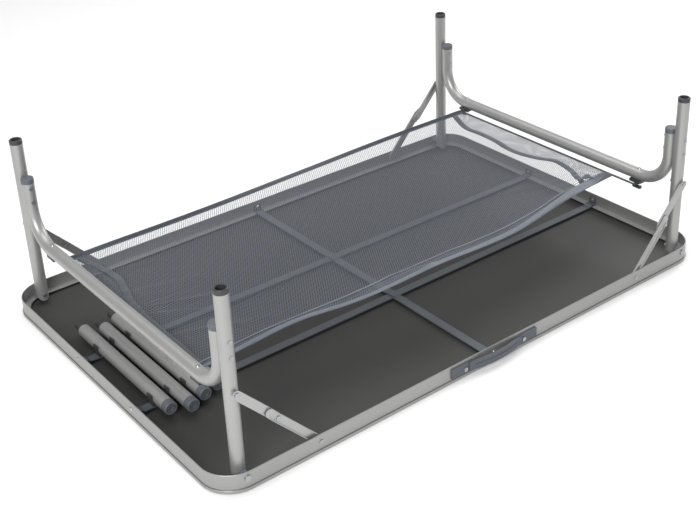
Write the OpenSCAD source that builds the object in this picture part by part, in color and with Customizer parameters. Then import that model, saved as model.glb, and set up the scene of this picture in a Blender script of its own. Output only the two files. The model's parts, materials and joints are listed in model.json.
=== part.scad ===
// Folding camp table, standing upside down on its tabletop with both leg frames unfolded.
// +X runs along the table, +Y across it, +Z up. The origin is the middle of the tabletop face.

/* [Tabletop] */
// Length over the rim's web
top_l = 1200; // [900:10:1500]
// Width over the rim's web
top_w = 790; // [740:5:1000]
// Height of the rim
rim_h = 36.6; // [34:0.2:50]
// Outer corner radius of the rim
corner_r = 60; // [30:1:80]
// Thickness of the rim's web
web_t = 1.8; // [1.2:0.1:3]
// Height of the outer lip around the board
lip_h = 6.6; // [4:0.2:8]
// How far the outer lip stands proud of the web
lip_out = 1.7; // [0.5:0.1:3]
// Height of the shadow groove above the lip
groove_h = 1.4; // [0.8:0.1:2.5]
// Thickness of the tabletop board
board_t = 5; // [4:0.5:7]
// Height of the inner ledge and of the bars that rest on it
ledge_h = 9; // [8.5:0.5:9]
// Reach of the inner ledge over the board
ledge_d = 13; // [8:0.5:16]
// Rise of the ledge where it meets the web
ledge_rise = 1.8; // [1:0.1:2.2]

/* [Stiffening bars] */
// Width of the flat bars
bar_w = 18; // [12:1:24]
// Thickness of the flat bars
bar_t = 2.5; // [2:0.1:3]
// Distance of the two long bars from the middle line
bar_y = 102.5; // [85:0.5:120]
// Height of the riveted tabs above the tabletop face
tab_h = 27; // [24:0.5:32]

/* [Leg frames] */
// Outer diameter of every round tube
tube_d = 25; // [20:0.5:28]
// Wall of every round tube
tube_wall = 1.2; // [0.9:0.1:2]
// Distance of the legs' axes from the rim's ends
leg_inset_x = 52; // [45:0.5:70]
// Room from each leg's outer face to the outside of the long rim
leg_room = 16; // [15:0.5:22]
// Height of the legs' pivots
pivot_h = 24.5; // [24.5:0.1:32]
// Height of the legs' tops over the tabletop face
leg_top = 369.7; // [320:0.1:450]
// Gap between a leg and the arm riveted to it
arm_gap = 0.2; // [0.1:0.1:1]
// Height of the cross tube's axis
cross_h = 163.5; // [155:0.5:180]
// Radius of the U tube's bends, at the tube's axis
bend_r = 68; // [50:1:80]
// Height of the U tube's cut ends
arm_top = 286; // [270:1:310]
// Distance between the two rivets of an arm
arm_rivet_gap = 29; // [20:0.5:40]
// Length of a pivot end below the pivot's axis
leg_heel = 12.8; // [10:0.1:13]

/* [Plastic fittings] */
// Bore of the leg sockets
socket_bore = 17; // [14:0.2:18]
// Depth of the leg sockets
socket_l = 34; // [25:1:50]
// Height of a socket's collar
collar_h = 8.7; // [5:0.1:12]
// Height of the caps on the U tubes
cap_h = 10.6; // [6:0.1:14]

/* [Braces] */
// Height of the braces' pivots on the legs
brace_leg_h = 181; // [170:0.5:190]
// Distance of the braces' rim pivots from the rim's ends
brace_inset_x = 199; // [190:0.5:215]
// Height of the braces' rim pivots
brace_rim_h = 21; // [20.5:0.1:24]
// Width of the brace links
link_w = 16; // [12:0.5:17]
// Sheet thickness of the brace links
link_t = 1.4; // [1:0.1:2]
// Depth of the folded edges of the brace links
link_depth = 4.4; // [3:0.1:5]
// Length of the lower link past the middle rivet
link_tail = 30; // [20:1:40]
// Diameter of the rivet shanks
rivet_d = 6; // [4:0.1:8]
// Radial running clearance on the pivot rivets
run_clear = 0.08; // [0.02:0.01:0.1]

/* [Extension tubes] */
// Length of an extension tube with its foot cap
ext_l = 332; // [280:1:360]
// Distance between neighbouring extension tubes
ext_pitch = 34; // [32:0.5:35]
// Length of the foot caps
foot_l = 15; // [10:0.5:20]
// Length of the plugs that stand out of the tubes
plug_out = 26; // [18:1:32]
// Clearance between a plug and a leg socket, on the diameter
plug_clear = 0.4; // [0.2:0.1:1]
// Wall of the tube clips
clip_t = 2.2; // [1.5:0.1:3]

/* [Net] */
// Room between each long edge of the net and the hook beside it
net_room = 8; // [4:0.5:60]
// Thickness that the net's space takes
net_t = 3; // [2:0.5:5]
// Diameter of the elastic end cords
cord_d = 4.5; // [3:0.5:6]
// How far each hook sits from the end of the bend on the cross tube
hook_gap = 5.3; // [3.3:0.5:11.3]
// Distance of the hooks' necks from the plane of the legs
hook_inset = 10.5; // [8:0.1:10.5]

/* [Handle] */
// Length over the handle's end plates
handle_l = 218; // [180:1:260]
// Height of the handle's end plates
handle_h = 22; // [18:0.5:24]
// How far the grip bows out from the rim
grip_bow = 11; // [6:0.5:18]

/* [Hidden] */

$fn = 64;
EPS = 0.01;
SILVER = "#b4b4b1";
DARK = "#484848";
SLATE = "#5a5f66";
PLASTIC = "#45484d";
STEEL = "#c4c6c8";

// tabletop and rim
half_l = top_l / 2;
half_w = top_w / 2;
web_in = half_w - web_t;
web_in_x = half_l - web_t;
ledge_t = 1.4;
groove_d = 0.9;
bar_top = ledge_h + bar_t;
bar_rivet_h = 21;

// legs and U tubes
tube_r = tube_d / 2;
leg_inset_y = tube_r + leg_room;
bore_r = tube_r - tube_wall;
leg_x = half_l - leg_inset_x;
leg_y = half_w - leg_inset_y;
leg_tube_top = leg_top - collar_h;
arm_y = leg_y - tube_d - arm_gap;
arm_rivet_high = arm_top - 10;
arm_rivet_low = arm_rivet_high - arm_rivet_gap;
head_r = 4.5;
head_t = 1.6;
pin_head_r = 6;
pin_head_t = 2;
bush_r = 8;

// brace: layers outwards from the leg, then the triangle of its three pivots
leg_face = leg_y + tube_r;
flat_head_t = 1;
upper_tip = leg_face + flat_head_t + 0.3;
upper_out = upper_tip + link_depth;
lower_in = upper_out + head_t + 0.6;
lower_out = lower_in + link_t;
brace_x = half_l - brace_inset_x;
brace_dx = leg_x - brace_x;
brace_dz = brace_leg_h - brace_rim_h;
brace_span = sqrt(brace_dx * brace_dx + brace_dz * brace_dz);
folded_leg_x = leg_x - (brace_leg_h - pivot_h);
upper_len = (brace_span - (brace_x - folded_leg_x)) / 2;
lower_len = brace_span - upper_len;
brace_angle = atan2(brace_dz, brace_dx);
mid_x = brace_x + lower_len * cos(brace_angle);
mid_h = brace_rim_h + lower_len * sin(brace_angle);

// extension tubes and clips
clip_base = 1.5;
clip_clear = 0.3;
ext_h = bar_top + clip_base + clip_clear + tube_r;
ext_x0 = -leg_x;
ext_shift = [12, -7, 8, 18];
plug_r = (socket_bore - plug_clear) / 2;
clip_arm_h = 2;
clip_guide_h = 9;

// net, hooks and cords
hook_neck_r = 3;
hook_base_t = 3;
hook_prong_l = 20;
hook_prong_t = 5;
hook_drop = 6;
hook_x = leg_x - hook_inset;
hook_y = arm_y - bend_r - hook_gap;
net_w = 2 * (hook_y - net_room);
hook_under = cross_h - tube_r - hook_base_t;
loop_r = hook_neck_r + cord_d / 2 + 0.3;
cord_x = hook_x - loop_r;
net_h = hook_under - hook_drop / 2;
net_half = cord_x - cord_d / 2 - 0.3;
cord_tail = 8;

// handle
plate_l = 50;
plate_t = 3;
handle_z = 20;
handle_rivet_x = 75;
handle_rivet_z = 17.5;
grip_half = handle_l / 2 - plate_l + 8;
grip_t = 5;
grip_h = 18;

// copies a shape made in the +X +Y quarter to the corner on the sides sx and sy
module corner(sx, sy) {
    mirror([sx < 0 ? 1 : 0, 0, 0])
        mirror([0, sy < 0 ? 1 : 0, 0])
            children();
}

// a cylinder along +Y from y0 to y1 at x and z
module y_rod(x, z, y0, y1, r) {
    translate([x, y0, z])
        rotate([-90, 0, 0])
            cylinder(r = r, h = y1 - y0);
}

// the rim's outline in plan, moved in by inset: two rectangles and four true arcs
module plan(inset) {
    r = corner_r - inset;
    x = half_l - corner_r;
    y = half_w - corner_r;
    square([2 * x, 2 * (y + r)], center = true);
    square([2 * (x + r), 2 * y], center = true);
    for (sx = [-1, 1], sy = [-1, 1])
        translate([sx * x, sy * y])
            circle(r = r, $fn = 96);
}

module slab(inset, z0, z1) {
    translate([0, 0, z0])
        linear_extrude(height = z1 - z0)
            plan(inset);
}

// ---- tabletop ----

module tabletop_board() {
    color(DARK)
        slab(web_t, 0, board_t);
}

// the rim's section, x outwards from the web's outer face
module rim_section() {
    polygon([
        [-web_t, 0], [lip_out - 1, 0], [lip_out, 1], [lip_out, lip_h - 0.5], [lip_out - 0.5, lip_h],
        [-groove_d, lip_h], [-groove_d, lip_h + groove_h], [0, lip_h + groove_h],
        [0, rim_h - 0.6], [-0.6, rim_h], [-web_t + 0.3, rim_h], [-web_t, rim_h - 0.3],
        [-web_t, ledge_h + ledge_rise + ledge_t], [-web_t - ledge_d, ledge_h + ledge_t],
        [-web_t - ledge_d, ledge_h], [-web_t, ledge_h],
    ]);
}

module rim_straight(len) {
    rotate([90, 0, 0])
        linear_extrude(height = len, center = true)
            rim_section();
}

module rim_corner() {
    rotate_extrude(angle = 90, $fn = 96)
        translate([corner_r, 0])
            rim_section();
}

module rim_frame() {
    x = half_l - corner_r;
    y = half_w - corner_r;
    color(SILVER) difference() {
        union() {
            for (turn = [0, 180])
                rotate([0, 0, turn]) {
                    translate([half_l, 0, 0]) rim_straight(2 * y);
                    rotate([0, 0, 90]) translate([half_w, 0, 0]) rim_straight(2 * x);
                    translate([x, y, 0]) rim_corner();
                    translate([-x, y, 0]) rotate([0, 0, 90]) rim_corner();
                }
        }
        for (sx = [-1, 1], sy = [-1, 1])
            corner(sx, sy) {
                y_rod(leg_x, pivot_h, web_in - 4, half_w + 4, rivet_d / 2);
                y_rod(brace_x, brace_rim_h, web_in - 4, half_w + 4, rivet_d / 2);
            }
        bar_rivet_places() cylinder(r = rivet_d / 2, h = 10, center = true);
        for (sx = [-1, 1])
            translate([sx * handle_rivet_x, 0, 0])
                y_rod(0, handle_rivet_z, -half_w - 4, -web_in + 4, rivet_d / 2);
    }
}

// ---- stiffening bars ----

// a flat bar along X, joggled up over the ledge and bent up at the web
module bar_side(reach) {
    step_x = reach - ledge_d - 6;
    step_h = ledge_rise + ledge_t;
    polygon([
        [0, ledge_h], [step_x, ledge_h], [step_x + 5, ledge_h + step_h], [reach, ledge_h + step_h],
        [reach, tab_h], [reach - bar_t, tab_h], [reach - bar_t, ledge_h + step_h + bar_t],
        [step_x + 4, ledge_h + step_h + bar_t], [step_x - 1, bar_top], [0, bar_top],
    ]);
}

module flat_bar(reach) {
    rotate([90, 0, 0])
        linear_extrude(height = bar_w, center = true)
            union() {
                bar_side(reach);
                mirror([1, 0]) bar_side(reach);
            }
}

module long_bar(sy) {
    color(SLATE) difference() {
        translate([0, sy * bar_y, 0]) flat_bar(web_in_x);
        bar_rivet_places() cylinder(r = rivet_d / 2, h = 14, center = true);
    }
}

// the cross bar steps over both long bars
module cross_bar() {
    hop_in = bar_y - bar_w / 2 - 1;
    hop_out = bar_y + bar_w / 2 + 1;
    color(SLATE) difference() {
        union() {
            rotate([0, 0, 90]) flat_bar(web_in);
            for (sy = [-1, 1])
                mirror([0, sy < 0 ? 1 : 0, 0])
                    rotate([90, 0, 90]) linear_extrude(height = bar_w, center = true)
                        polygon([
                            [hop_in - 4, ledge_h], [hop_in - 3, ledge_h], [hop_in, bar_top],
                            [hop_out, bar_top], [hop_out + 3, ledge_h], [hop_out + 4, ledge_h],
                            [hop_out + 4, bar_top], [hop_out + 1, bar_top + bar_t],
                            [hop_in - 1, bar_top + bar_t], [hop_in - 4, bar_top],
                        ]);
        }
        bar_rivet_places() cylinder(r = rivet_d / 2, h = 14, center = true);
        for (sy = [-1, 1])
            translate([-bar_w, sy * bar_y - bar_w / 2 - 1, ledge_h - 1])
                cube([2 * bar_w, bar_w + 2, bar_t + 1]);
    }
}

// puts its children, made along Z, at each riveted tab, with Z pointing out of the rim
module bar_rivet_places() {
    for (sx = [-1, 1], sy = [-1, 1])
        translate([sx * web_in_x, sy * bar_y, bar_rivet_h])
            rotate([0, sx * 90, 0])
                children();
    for (sy = [-1, 1])
        translate([0, sy * web_in, bar_rivet_h])
            rotate([-sy * 90, 0, 0])
                children();
}

module bar_rivets() {
    color(STEEL) bar_rivet_places() {
        translate([0, 0, -bar_t - head_t]) cylinder(r1 = head_r - 1, r2 = head_r, h = head_t);
        translate([0, 0, -bar_t]) cylinder(r = rivet_d / 2, h = bar_t + web_t);
        translate([0, 0, web_t]) cylinder(r1 = head_r, r2 = head_r - 1.2, h = head_t);
    }
}

// ---- handle ----

module handle_plate_outline() {
    offset(r = 3, $fn = 32)
        offset(delta = -3)
            square([plate_l, handle_h], center = true);
}

module handle_end_plates() {
    color(SLATE) for (s = [-1, 1])
        difference() {
            translate([s * (handle_l - plate_l) / 2, -half_w, handle_z])
                rotate([90, 0, 0])
                    linear_extrude(height = plate_t) handle_plate_outline();
            y_rod(s * handle_rivet_x, handle_rivet_z, -half_w - 10, -half_w + 1, rivet_d / 2);
        }
}

// the grip in plan: a bowed strap whose ends lie on the end plates
module grip_plan() {
    r = (grip_half * grip_half + grip_bow * grip_bow) / (2 * grip_bow);
    intersection() {
        translate([0, r - grip_bow]) difference() {
            circle(r = r, $fn = 240);
            circle(r = r - grip_t, $fn = 240);
        }
        translate([-grip_half, -grip_bow - 1])
            square([2 * grip_half, grip_bow + 1]);
    }
}

module handle_grip() {
    y = -half_w - plate_t;
    color(SLATE) {
        translate([0, y, handle_z - grip_h / 2])
            linear_extrude(height = grip_h) grip_plan();
        for (s = [-1, 1])
            translate([s * (grip_half - 5) - 5, y - grip_t / 2, handle_z - grip_h / 2])
                cube([10, grip_t / 2, grip_h]);
        ridge_r = (grip_half * grip_half + grip_bow * grip_bow) / (2 * grip_bow);
        translate([0, y, handle_z - 2])
            linear_extrude(height = 4)
                intersection() {
                    translate([0, ridge_r - grip_bow]) difference() {
                        circle(r = ridge_r + 1, $fn = 240);
                        circle(r = ridge_r - 1, $fn = 240);
                    }
                    translate([-grip_half + 14, -grip_bow - 2])
                        square([2 * grip_half - 28, grip_bow]);
                }
    }
}

module handle_rivets() {
    color(STEEL) for (s = [-1, 1]) {
        x = s * handle_rivet_x;
        y_rod(x, handle_rivet_z, -half_w - plate_t - head_t, -half_w - plate_t, head_r);
        y_rod(x, handle_rivet_z, -half_w - plate_t, -web_in + head_t, rivet_d / 2);
        y_rod(x, handle_rivet_z, -web_in, -web_in + head_t, head_r);
    }
}

// ---- leg pivots on the rim ----

module leg_pivot_pins() {
    color(STEEL) for (sx = [-1, 1], sy = [-1, 1])
        corner(sx, sy) {
            difference() {
                y_rod(leg_x, pivot_h, web_in, half_w + pin_head_t, pin_head_r);
                slab(0, 0, rim_h + 5);
            }
            y_rod(leg_x, pivot_h, leg_y - tube_r - 3, half_w + 1, rivet_d / 2);
            y_rod(leg_x, pivot_h, leg_y - tube_r - 3, leg_y - tube_r - 1, head_r);
        }
}

module leg_pivot_bushes() {
    color(PLASTIC) for (sx = [-1, 1], sy = [-1, 1])
        corner(sx, sy)
            intersection() {
                difference() {
                    y_rod(leg_x, pivot_h, leg_face + 0.3, half_w, bush_r);
                    y_rod(leg_x, pivot_h, leg_face, half_w + 1, rivet_d / 2);
                }
                slab(web_t, 0, rim_h);
            }
}

module brace_rim_rivets() {
    color(STEEL) for (sx = [-1, 1], sy = [-1, 1])
        corner(sx, sy) {
            y_rod(brace_x, brace_rim_h, half_w, half_w + head_t, head_r);
            y_rod(brace_x, brace_rim_h, lower_in - 1, half_w + EPS, rivet_d / 2);
            y_rod(brace_x, brace_rim_h, lower_in - head_t + 0.2, lower_in - 0.2, head_r);
        }
}

module brace_rim_washers() {
    color(PLASTIC) for (sx = [-1, 1], sy = [-1, 1])
        corner(sx, sy)
            difference() {
                y_rod(brace_x, brace_rim_h, lower_out + 0.2, web_in, head_r + 0.8);
                y_rod(brace_x, brace_rim_h, lower_out, half_w, rivet_d / 2);
            }
}

// ---- leg frames, made on the right and copied to the left ----

// a leg tube: round pivot end, open top, holes for the pivot, the brace and the arm rivets
module leg(sx, sy) {
    color(SILVER) corner(sx, sy) difference() {
        union() {
            translate([leg_x, leg_y, pivot_h])
                cylinder(r = tube_r, h = leg_tube_top - pivot_h);
            intersection() {
                translate([leg_x, leg_y, pivot_h - leg_heel])
                    cylinder(r = tube_r, h = leg_heel + EPS);
                y_rod(leg_x, pivot_h, leg_y - tube_r, leg_y + tube_r, leg_heel);
            }
        }
        translate([leg_x, leg_y, -1])
            cylinder(r = bore_r, h = leg_top + 2);
        y_rod(leg_x, pivot_h, leg_y - tube_d, leg_y + tube_d, rivet_d / 2 + run_clear);
        y_rod(leg_x, brace_leg_h, leg_y - tube_d, leg_y + tube_d, rivet_d / 2);
        for (z = [arm_rivet_low, arm_rivet_high])
            y_rod(leg_x, z, leg_y - tube_d, leg_y + tube_d, rivet_d / 2);
    }
}

// half of the U tube as a solid rod of radius r
module u_half(r) {
    translate([leg_x, arm_y, cross_h + bend_r])
        cylinder(r = r, h = arm_top - cross_h - bend_r);
    translate([leg_x, arm_y - bend_r, cross_h + bend_r])
        rotate([0, 90, 0])
            rotate_extrude(angle = 90)
                translate([bend_r, 0])
                    circle(r = r);
    y_rod(leg_x, cross_h, -EPS, arm_y - bend_r, r);
}

module u_tube(sx) {
    color(SILVER) corner(sx, 1) difference() {
        for (sy = [-1, 1])
            corner(1, sy) u_half(tube_r);
        for (sy = [-1, 1])
            corner(1, sy) {
                u_half(bore_r);
                translate([leg_x, arm_y, arm_top - 1]) cylinder(r = bore_r, h = 2);
                for (z = [arm_rivet_low, arm_rivet_high])
                    y_rod(leg_x, z, arm_y - tube_d, arm_y + tube_d, rivet_d / 2);
                translate([leg_x, hook_y, cross_h - tube_d]) cylinder(r = 2, h = 2 * tube_d);
            }
    }
}

module arm_rivets(sx) {
    color(STEEL) for (sy = [-1, 1], z = [arm_rivet_low, arm_rivet_high])
        corner(sx, sy) {
            y_rod(leg_x, z, arm_y - tube_r - head_t, leg_face + flat_head_t, rivet_d / 2);
            y_rod(leg_x, z, leg_face - 0.4, leg_face + flat_head_t, head_r - 0.5);
            y_rod(leg_x, z, arm_y - tube_r - head_t, arm_y - tube_r + 0.4, head_r - 0.5);
        }
}

module leg_sockets(sx) {
    color(PLASTIC) for (sy = [-1, 1])
        corner(sx, sy)
            translate([leg_x, leg_y, 0])
                rotate_extrude()
                    polygon([
                        [socket_bore / 2, leg_top - socket_l], [bore_r, leg_top - socket_l],
                        [bore_r, leg_tube_top], [tube_r, leg_tube_top], [tube_r, leg_top - 1.5],
                        [tube_r - 1.5, leg_top], [socket_bore / 2 + 0.8, leg_top],
                        [socket_bore / 2, leg_top - 0.8],
                    ]);
}

module arm_caps(sx) {
    color(SLATE) for (sy = [-1, 1])
        corner(sx, sy)
            translate([leg_x, arm_y, 0])
                rotate_extrude()
                    polygon([
                        [0, arm_top - 5], [bore_r - 0.1, arm_top - 5], [bore_r - 0.1, arm_top],
                        [tube_r + 0.1, arm_top], [tube_r + 0.1, arm_top + cap_h - 2.5],
                        [tube_r - 0.6, arm_top + cap_h - 0.8], [tube_r - 2.4, arm_top + cap_h],
                        [0, arm_top + cap_h],
                    ]);
}

module brace_pins(sx) {
    color(STEEL) for (sy = [-1, 1])
        corner(sx, sy) {
            y_rod(leg_x, brace_leg_h, leg_y - tube_r - head_t, upper_out + head_t, rivet_d / 2);
            y_rod(leg_x, brace_leg_h, leg_y - tube_r - head_t, leg_y - tube_r + 0.4, head_r);
            y_rod(leg_x, brace_leg_h, leg_face - 0.4, upper_out - link_t - 0.2, head_r);
            y_rod(leg_x, brace_leg_h, upper_out + 0.1, upper_out + head_t, head_r);
        }
}

// ---- braces ----

// a link along +X from its first hole to its second: a flat web and two folded edges.
// The web fills y 0 to link_t, and the edges reach from there to edge_y.
module link(len, tail, edge_y, hole_a, hole_b) {
    edge = 1.3;
    y0 = min(0, edge_y);
    difference() {
        union() {
            rotate([90, 0, 0]) translate([0, 0, -link_t])
                linear_extrude(height = link_t) {
                    circle(d = link_w);
                    translate([len + tail - link_w / 2, 0]) circle(d = link_w);
                    translate([0, -link_w / 2]) square([len + tail - link_w / 2, link_w]);
                }
            for (s = [-1, 1])
                translate([4, y0, s * (link_w / 2 - edge / 2) - edge / 2])
                    cube([len + tail - link_w / 2 - 8, abs(edge_y) + (edge_y < 0 ? link_t : 0), edge]);
        }
        y_rod(0, 0, -10, 10, hole_a);
        y_rod(len, 0, -10, 10, hole_b);
    }
}

module brace_upper(sx, sy) {
    color(SILVER) corner(sx, sy)
        translate([leg_x, upper_out - link_t, brace_leg_h])
            rotate([0, 180 - brace_angle, 0])
                link(upper_len, link_w / 2, -(link_depth - link_t),
                    rivet_d / 2 + run_clear, rivet_d / 2 + 0.5);
}

module brace_lower(sx, sy) {
    color(SILVER) corner(sx, sy)
        translate([brace_x, lower_in, brace_rim_h])
            rotate([0, -brace_angle, 0])
                link(lower_len, link_tail, link_depth, rivet_d / 2 + run_clear, rivet_d / 2);
}

// the middle rivet: head, shank in the lower link, and a spacer that stops short of the upper link
module brace_rivet(sx, sy) {
    color(STEEL) corner(sx, sy) {
        y_rod(mid_x, mid_h, lower_out, lower_out + head_t, head_r);
        y_rod(mid_x, mid_h, lower_in - EPS, lower_out + EPS, rivet_d / 2);
        y_rod(mid_x, mid_h, upper_out + 0.2, lower_in, head_r + 1);
    }
}

// ---- extension tubes in their clips ----

function ext_x(i) = ext_x0 + (i - 1) * ext_pitch;
function ext_y0(i) = -ext_l / 2 + ext_shift[i - 1];
function ext_y1(i) = ext_y0(i) + ext_l;

module extension_tube(i) {
    color(SILVER) difference() {
        y_rod(ext_x(i), ext_h, ext_y0(i) + foot_l, ext_y1(i), tube_r);
        y_rod(ext_x(i), ext_h, ext_y0(i), ext_y1(i) + 1, bore_r);
    }
}

// a foot cap: ribbed collar, flat tread with a ring groove, and a spigot inside the tube
module foot_cap(i) {
    color(PLASTIC)
        translate([ext_x(i), ext_y0(i), ext_h])
            rotate([-90, 0, 0])
                rotate_extrude()
                    polygon([
                        [0, 2], [5, 2], [5, 0], [6.5, 0], [6.5, 2], [8.5, 2], [8.5, 0],
                        [tube_r - 1, 0], [tube_r + 0.1, 1.2], [tube_r + 0.1, 4], [tube_r - 0.7, 4.4],
                        [tube_r - 0.7, 5.6], [tube_r + 0.1, 6], [tube_r + 0.1, foot_l],
                        [bore_r, foot_l], [bore_r, foot_l + 12], [0, foot_l + 12],
                    ]);
}

module tube_plug(i) {
    color(PLASTIC)
        translate([ext_x(i), ext_y1(i), ext_h])
            rotate([-90, 0, 0])
                rotate_extrude()
                    polygon([
                        [0, -20], [bore_r, -20], [bore_r, 0], [tube_r - 0.4, 0], [tube_r - 0.4, 1.5],
                        [plug_r, 1.5], [plug_r, plug_out - 2.5], [plug_r - 2.5, plug_out], [0, plug_out],
                    ]);
}

// one clip: a cradle open upwards, riding on a long bar, with a taller guide arm on one side
module clip_outline() {
    in_r = tube_r + clip_clear;
    out_r = in_r + clip_t;
    difference() {
        union() {
            circle(r = out_r);
            translate([-out_r, 0]) square([clip_t + 1, clip_guide_h]);
            translate([in_r - 1, 0]) square([clip_t + 1, clip_arm_h]);
            translate([-tube_r, -in_r - clip_base]) square([tube_d, 4]);
        }
        circle(r = in_r);
        translate([-in_r, 0]) square([2 * in_r, out_r + 1]);
        translate([in_r - 1, clip_arm_h]) square([clip_t + 2, out_r]);
        translate([-out_r - 1, clip_guide_h]) square([clip_t + 2, out_r]);
        translate([-out_r - 1, -out_r - 5]) square([2 * out_r + 2, out_r + 5 - in_r - clip_base]);
    }
}

module tube_clips() {
    color(PLASTIC) for (i = [1 : 4], sy = [-1, 1])
        translate([ext_x(i), sy * bar_y, ext_h])
            rotate([90, 0, 0])
                linear_extrude(height = bar_w - 2, center = true)
                    clip_outline();
}

// ---- net ----

// a cord hook under the cross tube: a saddle, a round neck and a prong with a raised tip
module net_hooks(sx) {
    reach = 4;
    color(PLASTIC) for (sy = [-1, 1])
        corner(sx, sy) {
            difference() {
                translate([hook_x - reach, hook_y - 14, hook_under])
                    cube([hook_inset + reach + 9, 28, hook_base_t + 3]);
                y_rod(leg_x, cross_h, 0, half_w, tube_r);
                translate([leg_x, hook_y, 0]) cylinder(r = 2, h = cross_h);
            }
            translate([hook_x, hook_y, hook_under - hook_drop])
                cylinder(r = hook_neck_r, h = hook_drop + 1);
            translate([hook_x - 3.5, hook_y - 5, hook_under - hook_drop - hook_prong_t])
                cube([7, hook_prong_l, hook_prong_t]);
            translate([hook_x - 3.5, hook_y + hook_prong_l - 8, hook_under - hook_drop - EPS])
                cube([7, 3, 1.2]);
        }
}

module hook_screws(sx) {
    color(STEEL) for (sy = [-1, 1])
        corner(sx, sy)
            translate([leg_x, hook_y, 0]) {
                translate([0, 0, hook_under]) cylinder(r = 2, h = tube_d + hook_base_t);
                translate([0, 0, cross_h + tube_r - 0.3]) cylinder(r1 = 4, r2 = 2.8, h = 2.2);
            }
}

module storage_net() {
    color(SLATE)
        translate([-net_half, -net_w / 2, net_h - net_t / 2])
            cube([2 * net_half, net_w, net_t]);
}

// an elastic cord along the net's end; it turns back around each hook's neck
module net_cord(sx) {
    color(PLASTIC) corner(sx, 1) {
        y_rod(cord_x, net_h, -hook_y, hook_y, cord_d / 2);
        for (sy = [-1, 1])
            corner(1, sy) {
                translate([hook_x, hook_y, net_h])
                    rotate_extrude(angle = 180)
                        translate([loop_r, 0])
                            circle(d = cord_d);
                y_rod(hook_x + loop_r, net_h, hook_y - cord_tail, hook_y, cord_d / 2);
            }
    }
}

tabletop_board();
rim_frame();
cross_bar();
long_bar(-1);  // long_bar_near
long_bar(1);  // long_bar_far
bar_rivets();
handle_grip();
handle_end_plates();
handle_rivets();
leg_pivot_pins();
leg_pivot_bushes();
brace_rim_rivets();
brace_rim_washers();
tube_clips();
leg(-1, -1);  // left_near_leg
leg(-1, 1);  // left_far_leg
u_tube(-1);  // left_u_tube
arm_rivets(-1);  // left_arm_rivets
leg_sockets(-1);  // left_leg_sockets
arm_caps(-1);  // left_arm_caps
brace_pins(-1);  // left_brace_pins
net_hooks(-1);  // left_net_hooks
hook_screws(-1);  // left_hook_screws
leg(1, -1);  // right_near_leg
leg(1, 1);  // right_far_leg
u_tube(1);  // right_u_tube
arm_rivets(1);  // right_arm_rivets
leg_sockets(1);  // right_leg_sockets
arm_caps(1);  // right_arm_caps
brace_pins(1);  // right_brace_pins
net_hooks(1);  // right_net_hooks
hook_screws(1);  // right_hook_screws
brace_upper(-1, -1);  // brace_upper_left_near
brace_upper(-1, 1);  // brace_upper_left_far
brace_upper(1, -1);  // brace_upper_right_near
brace_upper(1, 1);  // brace_upper_right_far
brace_lower(-1, -1);  // brace_lower_left_near
brace_lower(-1, 1);  // brace_lower_left_far
brace_lower(1, -1);  // brace_lower_right_near
brace_lower(1, 1);  // brace_lower_right_far
brace_rivet(-1, -1);  // brace_rivet_left_near
brace_rivet(-1, 1);  // brace_rivet_left_far
brace_rivet(1, -1);  // brace_rivet_right_near
brace_rivet(1, 1);  // brace_rivet_right_far
extension_tube(1);  // extension_tube_1
extension_tube(2);  // extension_tube_2
extension_tube(3);  // extension_tube_3
extension_tube(4);  // extension_tube_4
foot_cap(1);  // foot_cap_1
foot_cap(2);  // foot_cap_2
foot_cap(3);  // foot_cap_3
foot_cap(4);  // foot_cap_4
tube_plug(1);  // tube_plug_1
tube_plug(2);  // tube_plug_2
tube_plug(3);  // tube_plug_3
tube_plug(4);  // tube_plug_4
storage_net();
net_cord(-1);  // net_cord_left
net_cord(1);  // net_cord_right
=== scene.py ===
# %% [markdown]
# # A folding camp table, standing upside down on its top
#
# The table lies on its tabletop with both leg frames up. Between the frames hangs a storage net,
# and four extension tubes are clipped to one end. The rigid pieces come from the CAD model, which
# is loaded first. This script gives them their finishes, and it makes what CAD can't make well:
# the knitted net with its tapes, and the elastic cords that hold it.

# %% Load the frame
import json
import math

import bpy
from mathutils import Matrix, Vector


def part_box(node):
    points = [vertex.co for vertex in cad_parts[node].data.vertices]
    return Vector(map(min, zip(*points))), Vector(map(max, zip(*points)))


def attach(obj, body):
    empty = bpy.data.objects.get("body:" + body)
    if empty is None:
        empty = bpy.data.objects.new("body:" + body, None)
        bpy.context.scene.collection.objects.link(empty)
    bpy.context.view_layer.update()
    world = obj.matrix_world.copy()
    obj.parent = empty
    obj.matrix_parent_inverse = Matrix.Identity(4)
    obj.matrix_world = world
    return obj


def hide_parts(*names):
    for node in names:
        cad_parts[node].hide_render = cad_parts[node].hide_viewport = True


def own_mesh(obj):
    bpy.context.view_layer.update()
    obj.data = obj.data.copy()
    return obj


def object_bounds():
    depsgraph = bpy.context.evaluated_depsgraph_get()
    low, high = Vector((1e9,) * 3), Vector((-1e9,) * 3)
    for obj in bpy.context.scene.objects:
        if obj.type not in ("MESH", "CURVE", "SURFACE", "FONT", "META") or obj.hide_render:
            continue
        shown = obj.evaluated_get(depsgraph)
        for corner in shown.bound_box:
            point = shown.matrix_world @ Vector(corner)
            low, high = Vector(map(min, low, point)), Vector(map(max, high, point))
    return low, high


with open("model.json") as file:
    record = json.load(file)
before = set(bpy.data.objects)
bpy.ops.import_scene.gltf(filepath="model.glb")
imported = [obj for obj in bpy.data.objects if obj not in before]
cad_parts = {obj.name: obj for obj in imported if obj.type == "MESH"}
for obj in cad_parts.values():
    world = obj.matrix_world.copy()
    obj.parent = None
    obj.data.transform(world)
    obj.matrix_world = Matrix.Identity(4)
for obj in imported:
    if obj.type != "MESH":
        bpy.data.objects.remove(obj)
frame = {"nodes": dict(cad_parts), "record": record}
cad_low, cad_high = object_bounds()
bpy.ops.object.select_all(action="DESELECT")
print("CAD nodes:", len(frame["nodes"]), "box:", tuple(cad_low), tuple(cad_high))

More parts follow.
